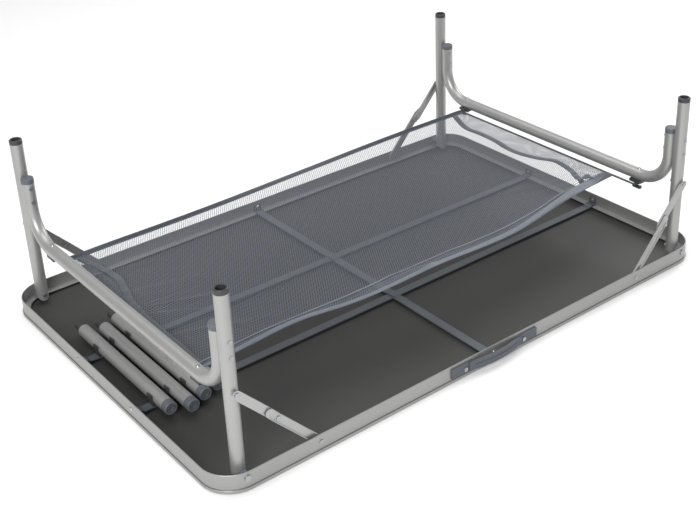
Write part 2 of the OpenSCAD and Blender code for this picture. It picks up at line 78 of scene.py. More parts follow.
# %% [markdown]
# ## Where things are
#
# Every place is read from the CAD nodes, so nothing has to be fitted afterwards. The net's node is
# a plain plate that marks the room between the two leg frames. The cords' nodes say how thick the
# elastic is, and later on also where it turns.

# %% Read the places that the soft pieces need
net_low, net_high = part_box("storage_net")
cord_low, cord_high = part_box("net_cord_right")
NET_Z = (net_low.z + net_high.z) / 2
NET_END = net_high.x
CORD_R = (cord_high.z - cord_low.z) / 2
SIDE_NAMES = {-1: "left", 1: "right"}
print("net height", round(NET_Z, 4), "half length", round(NET_END, 4),
      "cord radius", round(CORD_R, 5))

# %% [markdown]
# ## Shared effects
#
# Some effects turn up in several finishes. Powder coat, moulded plastic and laminate all have a
# fine grain, and everything that is handled has soft blotches where the gloss changes. Each effect
# is a node group with named sockets, so that a finish only says how big and how strong it is.

# %% A helper that starts a node group with named sockets


def start_group(name, inputs, outputs):
    """An empty shader group; inputs maps a name to a default, and outputs is a list of names."""
    group = bpy.data.node_groups.new(name, "ShaderNodeTree")
    for socket, default in inputs.items():
        kind = "NodeSocketVector" if default is None else "NodeSocketFloat"
        made = group.interface.new_socket(socket, in_out="INPUT", socket_type=kind)
        if default is not None:
            made.default_value = default
    for socket in outputs:
        group.interface.new_socket(socket, in_out="OUTPUT", socket_type="NodeSocketFloat")
    return group, group.nodes.new("NodeGroupInput"), group.nodes.new("NodeGroupOutput")


def math_node(tree, operation, first, second, clamp=False):
    """A Math node whose two inputs are sockets or numbers; returns its output."""
    node = tree.nodes.new("ShaderNodeMath")
    node.operation = operation
    node.use_clamp = clamp
    for socket, value in zip(node.inputs, (first, second)):
        if isinstance(value, (int, float)):
            socket.default_value = value
        else:
            tree.links.new(value, socket)
    return node.outputs[0]


def noise(tree, vector, scale, detail=2.0, roughness=0.5):
    """A Noise texture; scale is a socket or a number. Returns its value output."""
    node = tree.nodes.new("ShaderNodeTexNoise")
    node.inputs["Detail"].default_value = detail
    node.inputs["Roughness"].default_value = roughness
    tree.links.new(vector, node.inputs["Vector"])
    if isinstance(scale, (int, float)):
        node.inputs["Scale"].default_value = scale
    else:
        tree.links.new(scale, node.inputs["Scale"])
    return node.outputs[0]


print("helpers ready")

# %% The grain group: a fine speckle for the surface and a slow drift for its gloss
SLOW_SHARE, FINE_SHARE = 0.7, 0.3


def make_grain_group():
    """Height is the speckle, Blotch the drift, and Roughness a mix of both between Low and High."""
    inputs = {"Vector": None, "Grain Scale": 900.0, "Blotch Scale": 9.0, "Low": 0.35, "High": 0.5}
    group, given, out = start_group("grain", inputs, ["Height", "Roughness", "Blotch"])
    fine = noise(group, given.outputs["Vector"], given.outputs["Grain Scale"], 3.0)
    slow = noise(group, given.outputs["Vector"], given.outputs["Blotch Scale"], 4.0, 0.6)
    span = math_node(group, "SUBTRACT", given.outputs["High"], given.outputs["Low"])
    mixed = math_node(group, "ADD", math_node(group, "MULTIPLY", slow, SLOW_SHARE),
                      math_node(group, "MULTIPLY", fine, FINE_SHARE))
    rough = math_node(group, "ADD", given.outputs["Low"], math_node(group, "MULTIPLY", mixed, span))
    group.links.new(fine, out.inputs["Height"])
    group.links.new(rough, out.inputs["Roughness"])
    group.links.new(slow, out.inputs["Blotch"])
    return group


GRAIN = make_grain_group()
print("group", GRAIN.name, "is ready")

# %% [markdown]
# ## Metal finishes
#
# The rim is an extruded aluminium section with a satin anodised skin. Fine die lines run along an
# extrusion, so the noise is squeezed flat: it changes quickly over the height and hardly at all
# along the rim. The tubes and braces are powder coated in silver, which looks like paint with a
# metal glint, so they are only partly metallic.

# %% Helpers that build one finish with grain
GRAIN_STRENGTH = 0.35
MM = 0.001


def blend_colour(tree, mask, dark, light):
    """Mixes two colours by a mask that changes over the surface."""
    mix = tree.nodes.new("ShaderNodeMix")
    mix.data_type = "RGBA"
    mix.inputs["A"].default_value = (*dark, 1)
    mix.inputs["B"].default_value = (*light, 1)
    tree.links.new(mask, mix.inputs["Factor"])
    return mix.outputs["Result"]


def add_relief(tree, height, strength, depth):
    """Lets a height pattern bend the light on the surface; depth is in metres."""
    relief = tree.nodes.new("ShaderNodeBump")
    relief.inputs["Strength"].default_value = strength
    relief.inputs["Distance"].default_value = depth
    tree.links.new(height, relief.inputs["Height"])
    tree.links.new(relief.outputs["Normal"], tree.nodes["Principled BSDF"].inputs["Normal"])


def finish(name, dark, light, rough, grain, bump, metallic=0.0, stretch=(1, 1, 1)):
    """A material with grain, drifting gloss and a slight drift of colour between dark and light.

    rough is the range of the gloss, grain the fineness of the speckle and bump its depth in mm.
    """
    material = bpy.data.materials.new(name)
    material.use_nodes = True
    tree = material.node_tree
    shader = tree.nodes["Principled BSDF"]
    where = tree.nodes.new("ShaderNodeTexCoord").outputs["Object"]
    mapping = tree.nodes.new("ShaderNodeMapping")
    mapping.inputs["Scale"].default_value = stretch
    tree.links.new(where, mapping.inputs["Vector"])
    effect = tree.nodes.new("ShaderNodeGroup")
    effect.node_tree = GRAIN
    effect.inputs["Grain Scale"].default_value = grain
    effect.inputs["Low"].default_value = rough[0]
    effect.inputs["High"].default_value = rough[1]
    tree.links.new(mapping.outputs["Vector"], effect.inputs["Vector"])
    colour = blend_colour(tree, effect.outputs["Blotch"], dark, light)
    tree.links.new(colour, shader.inputs["Base Color"])
    tree.links.new(effect.outputs["Roughness"], shader.inputs["Roughness"])
    add_relief(tree, effect.outputs["Height"], GRAIN_STRENGTH, bump * MM)
    shader.inputs["Metallic"].default_value = metallic
    return material


print("a finish's grain has strength", GRAIN_STRENGTH)


# %% The metals
rim_skin = finish("satin_rim", (0.31, 0.31, 0.305), (0.37, 0.37, 0.365), metallic=0.6,
                  rough=(0.34, 0.48), grain=40.0, bump=0.03, stretch=(1, 1, 45))
tube_skin = finish("silver_powder_coat", (0.34, 0.34, 0.335), (0.41, 0.41, 0.405), metallic=0.55,
                   rough=(0.34, 0.46), grain=1400.0, bump=0.03)
brace_skin = finish("brace_silver", (0.35, 0.355, 0.35), (0.45, 0.455, 0.45), metallic=0.6,
                    rough=(0.30, 0.46), grain=1400.0, bump=0.03)
rivet_skin = finish("bright_rivet", (0.34, 0.355, 0.37), (0.44, 0.455, 0.47), metallic=0.9,
                    rough=(0.24, 0.40), grain=700.0, bump=0.02)
bar_skin = finish("slate_bar", (0.080, 0.088, 0.098), (0.108, 0.118, 0.130), metallic=0.15,
                  rough=(0.38, 0.52), grain=1100.0, bump=0.04)
print("metals:", [m.name for m in (rim_skin, tube_skin, brace_skin, rivet_skin, bar_skin)])

# %% [markdown]
# ## Board and plastics
#
# The board's underside is a dark laminate with a fine leathery press, which shows as a soft sheen.
# The fittings are moulded: their grain is coarser, and they are slightly uneven in gloss.

# %% The board and the plastics
board_skin = finish("dark_laminate", (0.027, 0.027, 0.026), (0.035, 0.035, 0.0335),
                    rough=(0.50, 0.64), grain=520.0, bump=0.12)
plastic_skin = finish("moulded_grey", (0.085, 0.092, 0.105), (0.120, 0.130, 0.148),
                      rough=(0.42, 0.6), grain=620.0, bump=0.10)
dark_skin = finish("dark_fitting", (0.030, 0.031, 0.033), (0.050, 0.051, 0.054), rough=(0.38, 0.55),
                   grain=620.0, bump=0.10)
handle_skin = finish("handle_plastic", (0.062, 0.069, 0.082), (0.090, 0.098, 0.114),
                     rough=(0.40, 0.55), grain=800.0, bump=0.12)
print("plastics:", [m.name for m in (board_skin, plastic_skin, dark_skin, handle_skin)])

# %% [markdown]
# ## Dressing the CAD nodes
#
# Each CAD node already has a material slot from the record. The slot's name says which finish the
# node takes, so one small table dresses nearly all of them. The sockets, hooks, clips and plugs
# are moulded in a darker plastic than the other fittings.

# %% Give every CAD node its finish
SKINS = {
    "board": board_skin, "rim_aluminium": rim_skin, "slate_steel": bar_skin,
    "handle_plastic": handle_skin, "rivet_steel": rivet_skin, "brace_steel": brace_skin,
    "grey_plastic": plastic_skin, "tube_aluminium": tube_skin,
}
DARK_ENDINGS = ("leg_sockets", "net_hooks", "clips")
slot_of = {row["node"]: row["material_slot"] for row in frame["record"]["subparts"]}
for node_name, node in frame["nodes"].items():
    skin = SKINS.get(slot_of[node_name])
    if node_name.endswith(DARK_ENDINGS) or "plug" in node_name:
        skin = dark_skin
    if skin:
        node.data.materials.clear()
        node.data.materials.append(skin)
print("dressed", sum(slot_of[n] in SKINS for n in frame["nodes"]), "nodes")

# %% [markdown]
# ## The knitted mesh
#
# The net is a warp-knitted mesh with round holes 5 mm apart. Modelling some twenty-four thousand
# holes would be slow and heavy, so the sheet is one thin surface and its material cuts the holes
# with Alpha. Holes on a staggered lattice are two square lattices, one shifted by half a step: a
# point's distance to the nearer lattice point says whether it lies in a hole or on a thread. The
# pattern reads the sheet's UV map, which is laid out in real metres, so it follows the folds.

# %% The net's hole group
NET_PITCH = 0.005
HOLE_RADIUS = 0.0019
HOLE_SOFTNESS = 0.00025


def lattice_distance(group, vector, step, shift):
    """Distance in metres from a UV point to the nearest point of a rectangular lattice."""
    moved = group.nodes.new("ShaderNodeVectorMath")
    moved.operation = "ADD"
    moved.inputs[1].default_value = (step[0] * shift, step[1] * shift, 0)
    group.links.new(vector, moved.inputs[0])
    cells = group.nodes.new("ShaderNodeVectorMath")
    cells.operation = "DIVIDE"
    cells.inputs[1].default_value = (*step, 1)
    group.links.new(moved.outputs[0], cells.inputs[0])
    part = group.nodes.new("ShaderNodeVectorMath")
    part.operation = "FRACTION"
    group.links.new(cells.outputs[0], part.inputs[0])
    centred = group.nodes.new("ShaderNodeVectorMath")
    centred.operation = "SUBTRACT"
    centred.inputs[1].default_value = (0.5, 0.5, 0)
    group.links.new(part.outputs[0], centred.inputs[0])
    metres = group.nodes.new("ShaderNodeVectorMath")
    metres.operation = "MULTIPLY"
    metres.inputs[1].default_value = (*step, 0)
    group.links.new(centred.outputs[0], metres.inputs[0])
    length = group.nodes.new("ShaderNodeVectorMath")
    length.operation = "LENGTH"
    group.links.new(metres.outputs[0], length.inputs[0])
    return length.outputs["Value"]


def make_hole_group(pitch):
    """Thread is 1 on the threads and 0 in the holes, and Height is the threads' round relief."""
    inputs = {"Vector": None, "Hole Radius": HOLE_RADIUS, "Softness": HOLE_SOFTNESS}
    group, given, out = start_group("knitted_holes", inputs, ["Thread", "Height"])
    step = (pitch, pitch * math.sqrt(3))
    first = lattice_distance(group, given.outputs["Vector"], step, 0.0)
    second = lattice_distance(group, given.outputs["Vector"], step, 0.5)
    nearest = math_node(group, "MINIMUM", first, second)
    past_rim = math_node(group, "SUBTRACT", nearest, given.outputs["Hole Radius"])
    thread = math_node(group, "DIVIDE", past_rim, given.outputs["Softness"], clamp=True)
    height = math_node(group, "DIVIDE", past_rim, pitch / 4, clamp=True)
    group.links.new(thread, out.inputs["Thread"])
    group.links.new(height, out.inputs["Height"])
    return group


HOLES = make_hole_group(NET_PITCH)
print("hole pitch", NET_PITCH, "m")

# %% The net's material


def make_net_skin():
    """Blue-grey yarn with a slight sheen; the hole group cuts the holes and rounds the threads."""
    material = bpy.data.materials.new("knitted_net")
    material.use_nodes = True
    tree = material.node_tree
    shader = tree.nodes["Principled BSDF"]
    uv = tree.nodes.new("ShaderNodeUVMap").outputs["UV"]
    holes = tree.nodes.new("ShaderNodeGroup")
    holes.node_tree = HOLES
    holes.inputs["Hole Radius"].default_value = HOLE_RADIUS
    holes.inputs["Softness"].default_value = HOLE_SOFTNESS
    tree.links.new(uv, holes.inputs["Vector"])
    yarn = noise(tree, uv, 2600.0, 3.0)
    colour = blend_colour(tree, yarn, (0.068, 0.077, 0.102), (0.138, 0.153, 0.192))
    tree.links.new(colour, shader.inputs["Base Color"])
    tree.links.new(holes.outputs["Thread"], shader.inputs["Alpha"])
    add_relief(tree, holes.outputs["Height"], strength=0.7, depth=0.5 * MM)
    shader.inputs["Roughness"].default_value = 0.42
    shader.inputs["Sheen Weight"].default_value = 0.25
    shader.inputs["Sheen Roughness"].default_value = 0.4
    return material


net_skin = make_net_skin()
print("made", net_skin.name)

# %% [markdown]
# ## Woven tape and elastic
#
# The tapes that bind the net's edges are woven ribbons, and the elastic cord has a braided cover.
# Both are crossing waves over the piece's own UV map, so one weave group serves both, each with
# its own thread size. The waves also paint shade into the gaps and light onto the thread tops.

# %% The weave group and the four woven finishes


def make_weave_group():
    """Crossing waves: Height is their relief; Thread paints light on tops and shade in gaps."""
    inputs = {"Vector": None, "Threads": 1500.0, "Slant": 0.6}
    group, given, out = start_group("weave", inputs, ["Height", "Thread"])
    split = group.nodes.new("ShaderNodeSeparateXYZ")
    group.links.new(given.outputs["Vector"], split.inputs[0])
    along = math_node(group, "MULTIPLY", split.outputs["X"], given.outputs["Threads"])
    across = math_node(group, "MULTIPLY", split.outputs["Y"], given.outputs["Threads"])
    leaning = math_node(group, "MULTIPLY", across, given.outputs["Slant"])
    warp = math_node(group, "SINE", math_node(group, "ADD", along, leaning), 0)
    weft = math_node(group, "SINE", math_node(group, "SUBTRACT", along, leaning), 0)
    both = math_node(group, "MULTIPLY", warp, weft)
    height = math_node(group, "ADD", math_node(group, "MULTIPLY", both, 0.5), 0.5)
    group.links.new(height, out.inputs["Height"])
    group.links.new(math_node(group, "POWER", height, 0.6), out.inputs["Thread"])
    return group


WEAVE = make_weave_group()
LEAST_THREAD = 0.45


def woven(name, dark, light, threads, slant, sheen):
    """A woven finish: dark as painted shade in the gaps, light as a painted highlight on tops."""
    material = bpy.data.materials.new(name)
    material.use_nodes = True
    tree = material.node_tree
    shader = tree.nodes["Principled BSDF"]
    uv = tree.nodes.new("ShaderNodeUVMap").outputs["UV"]
    weave = tree.nodes.new("ShaderNodeGroup")
    weave.node_tree = WEAVE
    weave.inputs["Threads"].default_value = threads
    weave.inputs["Slant"].default_value = slant
    tree.links.new(uv, weave.inputs["Vector"])
    drift = noise(tree, uv, 22.0, 3.0)
    highlight_drift = math_node(tree, "ADD", drift, LEAST_THREAD)
    # the weave's relief also sets the colour: painted shade in the gaps, painted light on the tops
    mask = math_node(tree, "MULTIPLY", weave.outputs["Thread"], highlight_drift, clamp=True)
    tree.links.new(blend_colour(tree, mask, dark, light), shader.inputs["Base Color"])
    add_relief(tree, weave.outputs["Height"], strength=0.6, depth=0.3 * MM)
    shader.inputs["Roughness"].default_value = 0.6
    shader.inputs["Sheen Weight"].default_value = sheen
    return material


edge_tape_skin = woven("edge_tape", (0.060, 0.071, 0.096), (0.128, 0.146, 0.184),
                       threads=3800.0, slant=0.5, sheen=0.35)
corner_tape_skin = woven("corner_tape", (0.036, 0.044, 0.056), (0.085, 0.098, 0.120),
                         threads=3800.0, slant=0.5, sheen=0.25)
seam_tape_skin = woven("seam_tape", (0.028, 0.035, 0.045), (0.062, 0.074, 0.088),
                       threads=3800.0, slant=0.5, sheen=0.2)
elastic_skin = woven("braided_elastic", (0.018, 0.020, 0.026), (0.060, 0.065, 0.078),
                     threads=3000.0, slant=1.0, sheen=0.2)
print("woven:", [m.name for m in (edge_tape_skin, corner_tape_skin, seam_tape_skin, elastic_skin)])

# %% [markdown]
# ## The shape of the stretched net
#
# The net is held by an elastic cord at each end, so its two long edges run in shallow curves, and
# it dips by less than a centimetre in the middle. At the near right corner the cloth has slipped
# along the cord and bunches up. One function gives the height of the cloth at any point, and
# everything that is sewn to the net uses it too, so that tapes and hems lie on the cloth.

# %% The net's outline


def smooth_through(values, share):
    """A Catmull-Rom curve through evenly spaced values, for a share from 0 to 1."""
    place = max(0.0, min(0.9999, share)) * (len(values) - 1)
    i = int(place)
    f = place - i
    before = values[max(i - 1, 0)]
    here, after = values[i], values[i + 1]
    beyond = values[min(i + 2, len(values) - 1)]
    return here + 0.5 * f * (after - before + f * (2 * before - 5 * here + 4 * after - beyond
                                                   + f * (3 * (here - after) + beyond - before)))


# the two long edges' places across the table, at even steps from the left end to the right end
NEAR_EDGE = [-0.240, -0.233, -0.228, -0.238, -0.243, -0.246, -0.248, -0.243, -0.230, -0.218, -0.212]
FAR_EDGE = [0.246, 0.249, 0.250, 0.252, 0.256, 0.261, 0.265, 0.269, 0.271, 0.270, 0.266]


def near_edge(x):
    """The near edge's place across the table, for a place along it."""
    return smooth_through(NEAR_EDGE, (x + NET_END) / (2 * NET_END))


def far_edge(x):
    """The far edge's place across the table, for a place along it."""
    return smooth_through(FAR_EDGE, (x + NET_END) / (2 * NET_END))


def net_y(x, t):
    """A place across the net: t is 0 at the near edge and 1 at the far edge."""
    return near_edge(x) + (far_edge(x) - near_edge(x)) * t


print("near edge from", round(near_edge(-NET_END), 4), "to", round(near_edge(NET_END), 4))

# %% The net's height
DIP = 0.0075
GATHER_HEIGHT, GATHER_REACH, GATHER_STEP = 0.0024, 0.05, 0.083
GATHER_START = {-1: 0.2, 1: 1.1}
ROLL_HEIGHT, ROLL_REACH = 0.0030, 0.05
CALM_END = 0.02

# each fold: from (x, y) to (x, y), its height and its half width; it dies away towards its far end
FOLDS = [
    ((-0.515, -0.010), (-0.330, -0.060), 0.0075, 0.0070),
    ((-0.515, -0.030), (-0.350, -0.130), 0.0060, 0.0075),
    ((-0.512, 0.020), (-0.380, 0.000), -0.0050, 0.0070),
    ((-0.512, 0.060), (-0.330, 0.020), 0.0038, 0.0090),
    ((-0.512, 0.150), (-0.360, 0.130), 0.0036, 0.0100),
    ((-0.510, -0.120), (-0.300, -0.200), 0.0040, 0.0080),
    ((0.520, -0.200), (0.150, -0.205), 0.0040, 0.0060),
    ((0.518, -0.196), (0.200, -0.175), -0.0035, 0.0055),
    ((0.515, -0.190), (0.230, -0.145), 0.0038, 0.0065),
    ((0.512, -0.182), (0.270, -0.100), 0.0030, 0.0075),
    ((0.505, -0.170), (0.320, -0.040), 0.0026, 0.0085),
    ((-0.020, -0.235), (-0.180, -0.195), 0.0045, 0.0060),
    ((-0.030, -0.238), (0.120, -0.200), 0.0030, 0.0070),
]

# within this distance of an end nothing hangs down, because the folded cross tube passes below
FLAT_END = 0.05
LOWEST_RISE = -0.0004


def folds_at(x, y):
    """The height that the listed folds add at a point."""
    total = 0.0
    for (x0, y0), (x1, y1), height, spread in FOLDS:
        run_x, run_y = x1 - x0, y1 - y0
        length = math.hypot(run_x, run_y)
        share = ((x - x0) * run_x + (y - y0) * run_y) / length ** 2
        if -0.1 < share < 1:
            off = ((x - x0) * run_y - (y - y0) * run_x) / length
            fade = min(1.0, (share + 0.1) / 0.2) * (1 - share) ** 1.2
            total += height * fade * math.exp(-(off / spread) ** 2)
    return total


def cloth_height(x, y):
    """Height of the cloth: a shallow dip, gathers at both cords, a rolled edge and the folds."""
    along = min(1.0, abs(x) / NET_END)
    across = (y - near_edge(x)) / (far_edge(x) - near_edge(x))
    across = max(0.0, min(1.0, across))
    dip = DIP * (1 - along ** 2) * (0.45 + 0.55 * math.sin(math.pi * across))
    from_end = NET_END - abs(x)
    wave = math.sin(2 * math.pi * y / GATHER_STEP + GATHER_START[1 if x > 0 else -1])
    gathers = GATHER_HEIGHT * math.exp(-from_end / GATHER_REACH) * wave
    edge_roll = ROLL_HEIGHT * math.exp(-across / ROLL_REACH) * math.sin(17 * x + 1.3)
    rise = (gathers + edge_roll + folds_at(x, y)) * min(1.0, from_end / CALM_END)
    if from_end < FLAT_END:
        rise = max(rise, LOWEST_RISE)
    return NET_Z - dip + rise


print("net height in the middle", round(cloth_height(0, 0), 4))

# %% Helpers that shape a grid into a strip of cloth and give it thickness


def cloth_grid(name, columns, rows, place, flat_size, skin):
    """A grid whose point (s, t) goes to place(s, t); its UV map is laid out in metres."""
    bpy.ops.mesh.primitive_grid_add(x_subdivisions=columns, y_subdivisions=rows, size=2)
    piece = bpy.context.active_object
    piece.name = name
    mesh = piece.data
    for vertex in mesh.vertices:
        vertex.co = place((vertex.co.x + 1) / 2, (vertex.co.y + 1) / 2)
    for loop in mesh.uv_layers.active.data:
        loop.uv = (loop.uv[0] * flat_size[0], loop.uv[1] * flat_size[1])
    mesh.materials.append(skin)
    bpy.ops.object.shade_smooth()
    bpy.ops.object.select_all(action="DESELECT")
    return piece


def thicken(piece, thickness):
    """Gives a strip of cloth its thickness, half of it to each side."""
    bpy.context.view_layer.objects.active = piece
    piece.select_set(True)
    bpy.ops.object.modifier_add(type="SOLIDIFY")
    modifier = piece.modifiers[-1]
    modifier.thickness = thickness
    modifier.offset = 0
    bpy.ops.object.modifier_apply(modifier=modifier.name)
    piece.select_set(False)


print("cloth helpers ready")


# %% The net itself
NET_LENGTH = 2 * NET_END
NET_WIDTH = 0.50


def net_point(s, t):
    """A point of the net: s runs from left to right and t from the near edge to the far edge."""
    x = -NET_END + NET_LENGTH * s
    y = net_y(x, t)
    return Vector((x, y, cloth_height(x, y)))


net = cloth_grid("storage_net_cloth", 264, 124, net_point, (NET_LENGTH, NET_WIDTH), net_skin)
print(net.name, "has", len(net.data.polygons), "faces")

# %% [markdown]
# ## Hems and tapes
#
# At each end the mesh is folded back over the cord and sewn down with a slate tape. The second
# layer makes the hem look denser, and at the left it puffs up beside the cross tube. The seam
# wanders, because the soft mesh was sewn without being stretched. A few listed offsets say how
# far the seam lies from the end, and a smooth curve joins them.

# %% Where the two seams run
# the seam's distance from the end, from the near edge to the far edge
SEAM_RIGHT = [0.076, 0.066, 0.044, 0.038, 0.052, 0.066, 0.064, 0.058, 0.054, 0.059, 0.046, 0.030]
SEAM_LEFT = [0.007, 0.007, 0.008, 0.008, 0.009, 0.010, 0.015, 0.027, 0.036, 0.032, 0.024, 0.018]

# how strongly the left hem puffs up, from the near edge to the far edge
PUFF_LEFT = [0.0, 0.1, 0.1, 0.2, 0.3, 0.6, 1.0, 1.2, 1.0, 0.8, 0.4]


def seam_x(side, t):
    """The seam's place along the table; side is -1 at the left and 1 at the right."""
    offset = smooth_through(SEAM_RIGHT if side > 0 else SEAM_LEFT, t)
    return side * (NET_END - offset)


print("seams at half way:", [round(seam_x(side, 0.5), 4) for side in (-1, 1)])


# %% The hem's second layer, at both ends
LAYER_GAP = 0.0008
HEM_DEPTH = 0.055
PUFF_RIGHT_HEIGHT, PUFF_LEFT_HEIGHT = 0.0022, 0.0070


def hem_puff(side, s, t):
    """How far the hem's second layer stands off the cloth; s runs from the cord to the seam."""
    if side < 0:
        bulge = math.sin(math.pi * s ** 0.7)
        return LAYER_GAP + PUFF_LEFT_HEIGHT * bulge * smooth_through(PUFF_LEFT, t)
    bulge = math.sin(math.pi * s)
    return LAYER_GAP + PUFF_RIGHT_HEIGHT * bulge * (1 + 0.5 * math.sin(34 * t))


def hem_layer(side):
    """The mesh that is folded back over one cord, as far as the seam."""

    def place(s, t):
        x = side * NET_END + (seam_x(side, t) - side * NET_END) * s
        y = net_y(x, t)
        return Vector((x, y, cloth_height(x, y) + hem_puff(side, s, t)))

    return cloth_grid(f"net_hem_{SIDE_NAMES[side]}", 14, 90, place, (HEM_DEPTH, NET_WIDTH),
                      net_skin)


hems = [hem_layer(side) for side in (-1, 1)]
print("hems:", [p.name for p in hems])

# %% The tape along each seam
TAPE_THICKNESS = 0.0011
TAPE_CROWN = 0.0005
SEAM_TAPE_WIDTH = {-1: 0.015, 1: 0.0135}
SEAM_LEFT_HEIGHT = 0.0040
SEAM_END, SEAM_STEP = 0.02, 0.01


def ribbon(name, line, width, skin, length, columns=200, lift=0.0):
    """A woven tape: line(s) is its middle, and width(s) a vector from one edge to the other."""

    def place(s, t):
        crown = TAPE_CROWN * (1 - (2 * t - 1) ** 2)
        return line(s) + width(s) * (t - 0.5) + Vector((0, 0, crown + lift))

    widest = max(width(i / 20).length for i in range(21))
    piece = cloth_grid(name, columns, 6, place, (length, widest), skin)
    thicken(piece, TAPE_THICKNESS)
    return piece


def seam_tape(side):
    """The tape that sews one hem down; at the left it climbs over the puffed hem."""

    def line(s):
        t = SEAM_END + (1 - 2 * SEAM_END) * s
        x = seam_x(side, t)
        y = net_y(x, t)
        lift = SEAM_LEFT_HEIGHT * smooth_through(PUFF_LEFT, t) if side < 0 else 0.0
        return Vector((x, y, cloth_height(x, y) + lift))

    def width(s):
        ahead = line(min(1, s + SEAM_STEP)) - line(max(0, s - SEAM_STEP))
        across = ahead.cross(Vector((0, 0, 1))).normalized()
        return across * SEAM_TAPE_WIDTH[side]

    return ribbon(f"seam_tape_{SIDE_NAMES[side]}", line, width, seam_tape_skin, NET_WIDTH,
                  lift=LAYER_GAP)


seams = [seam_tape(side) for side in (-1, 1)]
print("seams:", [p.name for p in seams])

# %% [markdown]
# ## The long edges
#
# The far edge is bound with a narrow tape that leans up from it. The near edge has a hem of
# doubled mesh, a line of stitching along its inside and a soft tape whose outer edge curls down.
# The tape is wider towards the right, where the cloth bunches up, and the corner there is a folded
# patch.

# %% The tapes, the hem and the stitching of the two long edges
FAR_TAPE_WIDTH = 0.010
FAR_TAPE_OUT, FAR_TAPE_UP = 0.002, 0.0012


def far_line(s):
    """The middle of the far edge's tape, from left to right."""
    x = -NET_END + NET_LENGTH * s
    return Vector((x, far_edge(x) + FAR_TAPE_OUT, cloth_height(x, far_edge(x)) + FAR_TAPE_UP))


def far_width(s):
    """The far tape's direction across: it leans up, and its tilt changes slowly along the edge."""
    tilt = 0.9 + 0.25 * math.sin(9 * s)
    return Vector((0, math.cos(tilt), math.sin(tilt))) * FAR_TAPE_WIDTH


# widths at even steps from the left end to the right end
NEAR_HEM = [0.016, 0.020, 0.015, 0.024, 0.029, 0.030, 0.028, 0.024, 0.021, 0.024, 0.022]
NEAR_TAPE = [0.006, 0.007, 0.007, 0.006, 0.007, 0.009, 0.009, 0.009, 0.012, 0.019, 0.024]
CURL_FADE = 0.06
STITCH_INNER, STITCH_OUTER = 0.0012, -0.0022


def hem_width(s):
    """The near hem's width, for a share of the length."""
    return smooth_through(NEAR_HEM, s)


def along_near_edge(name, inner, outer, rows, lift, curl, skin, flat_width):
    """A strip of cloth beside the near edge, between two distances from it.

    lift is its height over the cloth, and curl says how far its outer edge hangs down.
    """

    def place(s, t):
        x = -NET_END + NET_LENGTH * s
        reach = outer(s) + (inner(s) - outer(s)) * t
        y = near_edge(x) + reach
        free = min(1.0, max(0.0, NET_END - abs(x) - FLAT_END) / CURL_FADE)
        roll = curl * free * (0.6 + 0.4 * math.sin(9 * s + 0.8)) * (1 - t) ** 2
        return Vector((x, y, cloth_height(x, y) + lift - roll))

    return cloth_grid(name, 260, rows, place, (NET_LENGTH, flat_width), skin)


near_hem = along_near_edge("near_edge_hem", hem_width, lambda s: 0.001, rows=8,
                           lift=LAYER_GAP, curl=0.0, skin=net_skin, flat_width=0.026)
near_tape = along_near_edge("near_edge_tape", lambda s: smooth_through(NEAR_TAPE, s),
                            lambda s: -0.001, rows=6, lift=0.0019, curl=0.0035,
                            skin=edge_tape_skin, flat_width=0.012)
thicken(near_tape, TAPE_THICKNESS)
near_stitch = along_near_edge("near_edge_stitching", lambda s: hem_width(s) + STITCH_INNER,
                              lambda s: hem_width(s) + STITCH_OUTER, rows=3, lift=0.0017,
                              curl=0.0, skin=edge_tape_skin, flat_width=0.0034)
thicken(near_stitch, 0.0008)
far_tape = ribbon("far_edge_tape", far_line, far_width, seam_tape_skin, NET_LENGTH, columns=220)
print("edge tapes:", far_tape.name, near_tape.name, near_hem.name, near_stitch.name)

# %% The doubled corner where the near hem meets the right cord
CORNER_THICKNESS = 0.0010
PATCH_LENGTH, PATCH_TIP, PATCH_WIDTH = 0.052, 0.004, 0.030
PATCH_LIFT, PATCH_PUFF, PATCH_CREASE = 0.0022, 0.0030, 0.0010
LOOP_FROM_END, LOOP_LENGTH, LOOP_WIDTH = 0.062, 0.022, 0.007
LOOP_IN, LOOP_SLANT = 0.030, 0.016
LOOP_LIFT, LOOP_HEIGHT = 0.0016, 0.0075


def corner_patch_point(s, t):
    """A triangle of folded cloth: s runs in from the cord, t away from the near edge."""
    reach = PATCH_LENGTH * (1 - t) ** 1.3 + PATCH_TIP
    x = NET_END - 0.0005 - reach * s
    y = near_edge(x) - 0.001 + (PATCH_WIDTH * (1 - 0.55 * s)) * t
    puff = PATCH_PUFF * math.sin(math.pi * s) * math.sin(math.pi * (0.15 + 0.7 * t))
    crease = PATCH_CREASE * math.sin(26 * s + 9 * t)
    return Vector((x, y, cloth_height(x, y) + PATCH_LIFT + puff + crease))


corner_patch = cloth_grid("corner_patch", 40, 24, corner_patch_point,
                          (PATCH_LENGTH + PATCH_TIP, PATCH_WIDTH), corner_tape_skin)
thicken(corner_patch, CORNER_THICKNESS)


def gather_point(s, t):
    """A short tape that stands up in one loop beside the corner, where the seam was run off."""
    x = NET_END - LOOP_FROM_END + LOOP_LENGTH * s
    y = near_edge(x) + LOOP_IN - LOOP_SLANT * s + LOOP_WIDTH * t
    rise = LOOP_HEIGHT * math.sin(math.pi * s) * (0.6 + 0.4 * t)
    return Vector((x, y, cloth_height(x, y) + LOOP_LIFT + rise))


gather_loop = cloth_grid("corner_gather", 30, 4, gather_point, (0.028, LOOP_WIDTH), edge_tape_skin)
thicken(gather_loop, CORNER_THICKNESS)
print("corner:", corner_patch.name, gather_loop.name)

# %% [markdown]
# ## The elastic cords
#
# Each cord runs through the hem, leaves it at both corners and turns back round the neck of a
# plastic hook. A grid rolled into a tube makes a cord with a clean UV map: one direction goes
# round the cord and the other along it, which is what a braid needs.

# %% A helper that rolls a grid along a route
CORD_SIDES = 14
WELD = 1e-5


